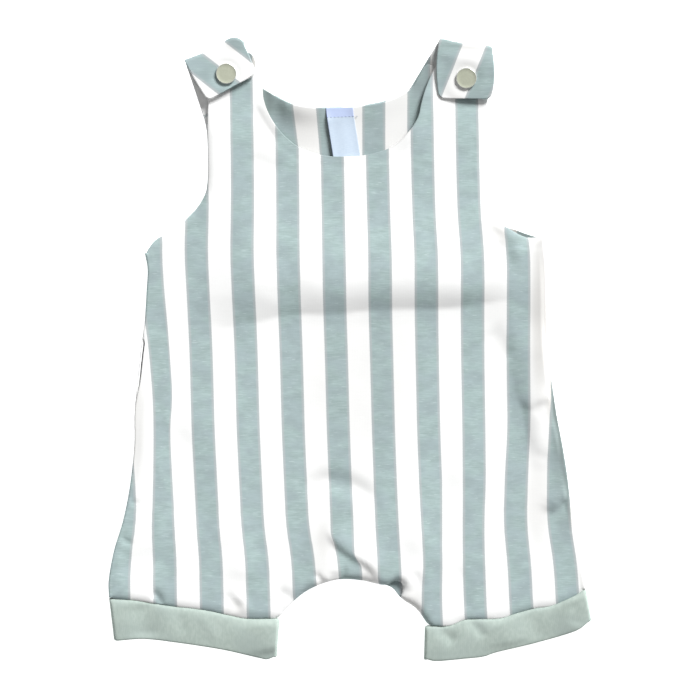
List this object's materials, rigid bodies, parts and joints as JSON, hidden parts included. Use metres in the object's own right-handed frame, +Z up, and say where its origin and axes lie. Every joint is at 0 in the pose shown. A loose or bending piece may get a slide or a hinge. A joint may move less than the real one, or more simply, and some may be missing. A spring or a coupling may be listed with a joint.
{
  "type": "short romper",
  "caption": "Sleeveless baby romper in wide vertical stripes, snap straps at the shoulders and rib cuffs on short legs, laid flat with its front up.",
  "frame": {"origin": "middle of the laid garment's box, on the surface that it lies on", "axes": "+Z up from the surface, +Y from the leg cuffs to the shoulders, +X to the right of someone who looks down at it, which is the wearer's left"},
  "size_m": [0.2726, 0.3515, 0.0079],
  "materials": {
    "striped_jersey": "jersey knit in wide stripes of grey green and white, matt",
    "facing_jersey": "the same striped jersey, its inner side, matt",
    "rib_knit": "fine rib knit in plain sage green, matt",
    "label_satin": "woven satin, pale blue, plain",
    "snap_enamel": "satin enamel, grey green, with a thin bright rim"
  },
  "bodies": {
    "root": {"back_panel": "striped_jersey", "front_panel": "striped_jersey", "back_facing": "facing_jersey", "neck_label": "label_satin", "cuff_left": "rib_knit", "cuff_right": "rib_knit", "snap_cap_left": "snap_enamel", "snap_cap_right": "snap_enamel"}
  },
  "joints": []
}
